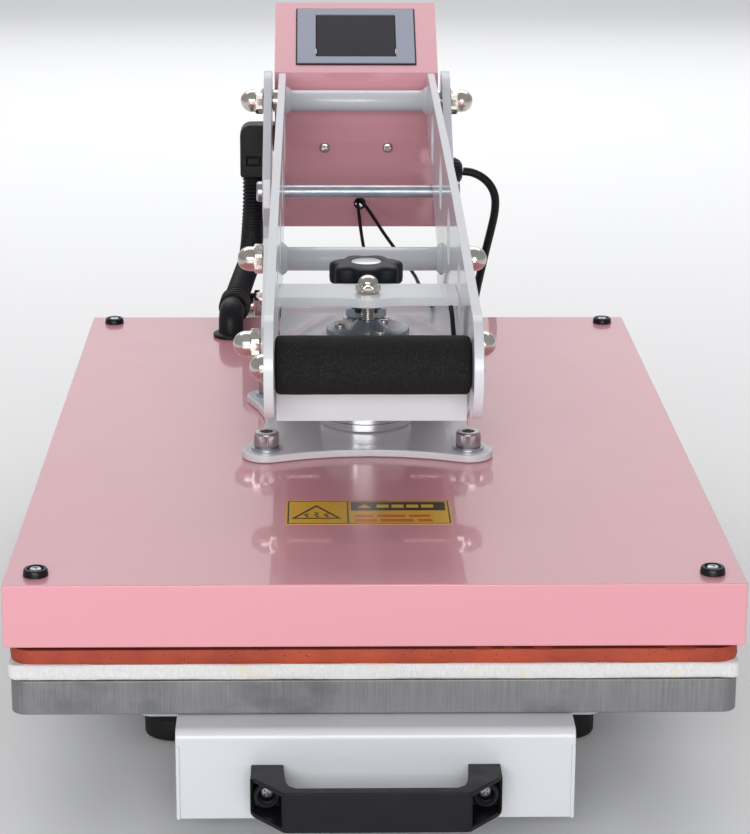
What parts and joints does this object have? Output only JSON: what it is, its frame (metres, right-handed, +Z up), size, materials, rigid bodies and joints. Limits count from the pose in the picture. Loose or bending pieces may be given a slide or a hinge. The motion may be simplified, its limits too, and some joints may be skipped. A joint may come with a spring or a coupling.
{
  "type": "heat press",
  "caption": "Clamshell heat press with an auto-open magnet handle, a slide-out lower platen on a pull drawer and a tilted control box.",
  "frame": {"origin": "middle of the machine's footprint, on the surface that its four feet stand on", "axes": "+Z up, the drawer and its pull handle face -Y, the control box is at +Y, +X is the operator's right"},
  "size_m": [0.415, 1.0474, 0.3675],
  "materials": {
    "pink_coat": "gloss powder coat",
    "white_coat": "satin powder coat",
    "black_plastic": "fine moulded grain",
    "black_hose": "corrugated",
    "cord_sheath": "smooth flexible sheath",
    "foot_rubber": "matt",
    "foam": "closed-cell foam",
    "nickel": "bright nickel plate",
    "zinc": "zinc plate",
    "hub_steel": "turned and polished",
    "platen_aluminium": "coarsely brushed edge",
    "plate_cast": "dark non-stick coat over cast aluminium",
    "silicone": "sponge with fine open pores",
    "felt": "pressed felt, slightly yellowed",
    "insulation": "needled glass wool",
    "bezel_grey": "satin printed film",
    "screen_glass": "dark satin display",
    "circuit_board": "solder mask"
  },
  "bodies": {
    "base": {"base_frame": "white_coat", "foot_front_left": "foot_rubber", "foot_front_right": "foot_rubber", "foot_rear_left": "foot_rubber", "foot_rear_right": "foot_rubber", "upright_left": "white_coat", "upright_right": "white_coat", "tie_rod": "zinc", "handle_axle": "nickel", "arm_axle": "nickel", "gas_cylinder": "black_plastic", "control_box": "pink_coat", "control_box_back": "pink_coat", "screen_bezel": "bezel_grey", "touch_screen": "screen_glass", "control_board": "circuit_board", "hose_elbow_upper": "black_plastic", "cable_gland": "black_plastic", "rail_outer_left": "zinc", "rail_outer_right": "zinc", "conduit_hose": "black_hose", "magnet_wire": "cord_sheath", "switch_wire": "cord_sheath", "mains_cable": "cord_sheath", "mains_coil": "cord_sheath", "mains_plug": "cord_sheath"},
    "drawer": {"drawer_box": "white_coat", "pull_handle": "black_plastic", "lower_platen": "platen_aluminium", "felt_pad": "felt", "silicone_pad": "silicone", "rail_inner_left": "zinc", "rail_inner_right": "zinc"},
    "arm": {"swing_arm": "white_coat", "electromagnet": "zinc", "magnet_axle": "nickel", "link_axle": "nickel"},
    "handle": {"handle_plate_left": "white_coat", "handle_plate_right": "white_coat", "handle_top_tube": "white_coat", "handle_mid_tube": "white_coat", "armature_bar": "white_coat", "armature_bolt": "nickel", "armature_disc": "zinc", "grip_core": "zinc", "foam_grip": "foam"},
    "links": {"link_left": "white_coat", "link_right": "white_coat", "link_pin_left": "nickel", "link_pin_right": "nickel"},
    "head": {"heater_cover": "pink_coat", "heating_plate": "plate_cast", "insulation_blanket": "insulation", "cross_plate": "white_coat", "pressure_hub": "hub_steel", "hose_elbow_lower": "black_plastic"},
    "knob": {"star_knob": "black_plastic", "pressure_screw": "zinc"},
    "spring_rod": {"gas_rod": "zinc"},
    "switch": {"power_switch": "black_plastic"}
  },
  "joints": [
    {"name": "drawer_slide", "type": "slide", "parent": "base", "child": "drawer", "axis": [0, -1, 0], "range_m": [0, 0.35]},
    {"name": "arm_lift", "type": "hinge", "parent": "base", "child": "arm", "pos_m": [0, 0.314, 0.136], "axis": [-1, 0, 0], "range_deg": [0, 38.98], "deforming": ["conduit_hose", "magnet_wire", "switch_wire"]},
    {"name": "handle_swing", "type": "hinge", "parent": "base", "child": "handle", "pos_m": [0, 0.339, 0.3007], "axis": [-1, 0, 0], "range_deg": [0, 60]},
    {"name": "link_fold", "type": "hinge", "parent": "arm", "child": "links", "pos_m": [0, -0.041, 0.1952], "axis": [1, 0, 0], "range_deg": [0, 75.92]},
    {"name": "spring_stroke", "type": "slide", "parent": "base", "child": "spring_rod", "axis": [0, 0, 1], "range_m": [0, 0.0334]},
    {"name": "pressure_lift", "type": "slide", "parent": "arm", "child": "head", "axis": [0, 0, 1], "range_m": [0, 0.003]},
    {"name": "knob_turn", "type": "hinge", "parent": "arm", "child": "knob", "pos_m": [0, -0.084, 0.25], "axis": [0, 0, 1], "range_deg": [0, 541]},
    {"name": "switch_rock", "type": "hinge", "parent": "base", "child": "switch", "pos_m": [0, 0.445, 0.228], "axis": [-1, 0, 0], "range_deg": [0, 16]}
  ],
  "couplings": [
    {"joint": "handle_swing", "follows": "arm_lift", "ratio": 1.539},
    {"joint": "link_fold", "follows": "arm_lift", "ratio": 1.9472},
    {"joint": "spring_stroke", "follows": "arm_lift", "m_per_rad": 0.048922},
    {"joint": "knob_turn", "follows": "pressure_lift", "rad_per_m": 3141.6}
  ]
}
